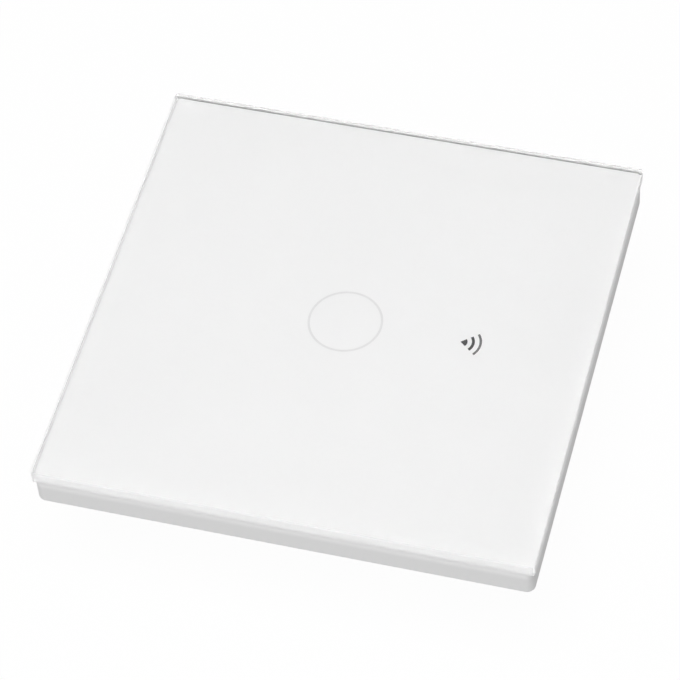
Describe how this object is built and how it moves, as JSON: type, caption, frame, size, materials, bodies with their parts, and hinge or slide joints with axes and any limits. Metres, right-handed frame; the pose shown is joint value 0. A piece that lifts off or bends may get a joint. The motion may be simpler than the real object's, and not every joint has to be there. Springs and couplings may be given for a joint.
{
  "type": "touch light switch",
  "caption": "Square touch light switch with a white glass front, a sensing ring and a wireless pictogram, on a plug-in wall-box base with screw terminals.",
  "frame": {"origin": "in the wall plane, at the back of the mounting flange, midway between the two box screws", "axes": "+Z out of the wall through the glass, +Y up on the wall, +X to the right seen from the front"},
  "size_m": [0.086, 0.086, 0.0338],
  "materials": {
    "clear_glass": "polished toughened glass",
    "white_enamel": "white ceramic enamel fired on the glass",
    "foam_tape": "white acrylic foam tape",
    "white_plastic": "fine satin moulding",
    "diffuser": "milky translucent",
    "conductive_foam": "fine open foam",
    "lamp_body": "clear lens over a pale body",
    "circuit_board": "solder resist over copper",
    "radio_laminate": "dark solder resist",
    "chip_epoxy": "moulded epoxy",
    "tinned_steel": "tinned sheet",
    "black_plastic": "glass-filled moulding",
    "gold_plate": "thin gold over nickel",
    "zinc_steel": "bright zinc",
    "housing_plastic": "fine spark-eroded texture",
    "relay_case": "moulded, slightly glossy",
    "ferrite": "ground ferrite",
    "coil_tape": "polyester tape over the winding",
    "capacitor_sleeve": "shrunk sleeve",
    "film_case": "moulded box",
    "varistor_lacquer": "dipped lacquer",
    "fuse_lacquer": "baked lacquer",
    "terminal_plastic": "glass-filled moulding",
    "brass": "stamped strip"
  },
  "bodies": {
    "base": {"mounting_plate": "white_plastic", "back_housing": "housing_plastic", "housing_screws": "zinc_steel", "power_board": "circuit_board", "socket_header": "black_plastic", "relay": "relay_case", "transformer_core": "ferrite", "transformer_coil": "coil_tape", "bulk_capacitor": "capacitor_sleeve", "film_capacitor": "film_case", "varistor": "varistor_lacquer", "fuse_resistor": "fuse_lacquer", "bridge_rectifier": "chip_epoxy", "power_chip": "chip_epoxy", "terminal_block": "terminal_plastic", "terminal_contacts": "brass"},
    "front_panel": {"glass_panel": "clear_glass", "back_print": "white_enamel", "adhesive_sheet": "foam_tape", "bezel_frame": "white_plastic", "ring_light_guide": "diffuser", "touch_pad": "conductive_foam", "indicator_shroud": "conductive_foam", "ring_leds": "lamp_body", "indicator_led": "lamp_body", "touch_board": "circuit_board", "touch_chip": "chip_epoxy", "radio_board": "radio_laminate", "radio_shield": "tinned_steel", "pin_header": "black_plastic", "header_pins": "gold_plate", "board_screws": "zinc_steel"},
    "screw_1": {"terminal_screw_1": "zinc_steel"},
    "cage_1": {"clamp_cage_1": "zinc_steel"},
    "screw_2": {"terminal_screw_2": "zinc_steel"},
    "cage_2": {"clamp_cage_2": "zinc_steel"},
    "screw_3": {"terminal_screw_3": "zinc_steel"},
    "cage_3": {"clamp_cage_3": "zinc_steel"}
  },
  "joints": [
    {"name": "front_panel_pull", "type": "slide", "parent": "base", "child": "front_panel", "axis": [0, 0, 1], "range_m": [0, 0.015]},
    {"name": "terminal_turn_1", "type": "hinge", "parent": "base", "child": "screw_1", "pos_m": [-0.0086, -0.0187, -0.0222], "axis": [0, 0, 1], "range_deg": [0, 1980.01]},
    {"name": "clamp_rise_1", "type": "slide", "parent": "base", "child": "cage_1", "axis": [0, 0, -1], "range_m": [0, 0.0033]},
    {"name": "terminal_turn_2", "type": "hinge", "parent": "base", "child": "screw_2", "pos_m": [0, -0.0187, -0.0222], "axis": [0, 0, 1], "range_deg": [0, 1980.01]},
    {"name": "clamp_rise_2", "type": "slide", "parent": "base", "child": "cage_2", "axis": [0, 0, -1], "range_m": [0, 0.0033]},
    {"name": "terminal_turn_3", "type": "hinge", "parent": "base", "child": "screw_3", "pos_m": [0.0086, -0.0187, -0.0222], "axis": [0, 0, 1], "range_deg": [0, 1980.01]},
    {"name": "clamp_rise_3", "type": "slide", "parent": "base", "child": "cage_3", "axis": [0, 0, -1], "range_m": [0, 0.0033]}
  ],
  "couplings": [
    {"joint": "terminal_turn_1", "follows": "clamp_rise_1", "rad_per_m": 10472},
    {"joint": "terminal_turn_2", "follows": "clamp_rise_2", "rad_per_m": 10472},
    {"joint": "terminal_turn_3", "follows": "clamp_rise_3", "rad_per_m": 10472}
  ]
}
